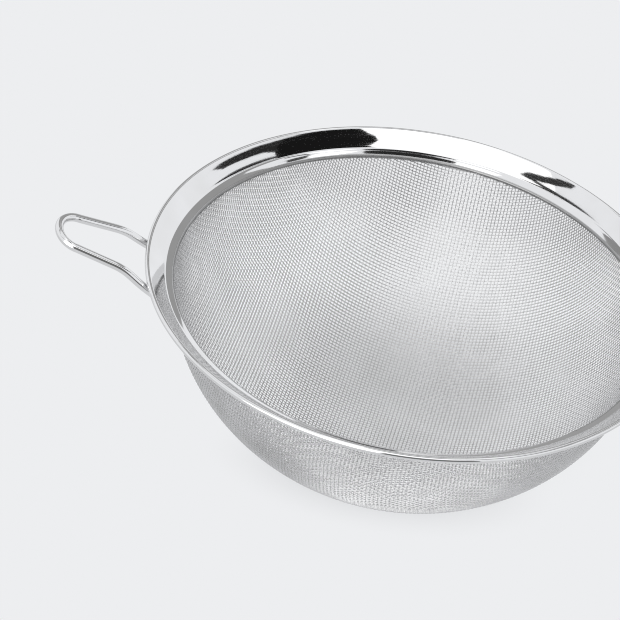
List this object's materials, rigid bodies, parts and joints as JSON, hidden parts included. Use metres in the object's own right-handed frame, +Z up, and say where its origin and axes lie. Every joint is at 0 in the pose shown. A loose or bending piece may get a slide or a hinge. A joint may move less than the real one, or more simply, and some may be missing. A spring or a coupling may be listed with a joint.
{
  "type": "wire-cloth bowl sieve",
  "caption": "Round-bottomed woven wire bowl sieve held in a wide polished steel rim, with a wire loop handle at each side.",
  "frame": {"origin": "centre of the flat that the bowl stands on", "axes": "+Z up along the bowl's axis; the two loop handles lie along -X and +X"},
  "size_m": [0.299, 0.224, 0.1041],
  "materials": {
    "wire_cloth": "woven stainless wire, drawn finish",
    "polished_rim": "mirror-polished stainless steel",
    "satin_steel": "satin stainless steel",
    "polished_wire": "polished stainless wire"
  },
  "bodies": {
    "root": {"mesh_bowl": "wire_cloth", "rim_flange": "polished_rim", "rim_core_wire": "satin_steel", "clamp_ring": "satin_steel", "loop_handle_left": "polished_wire", "loop_handle_right": "polished_wire"}
  },
  "joints": []
}
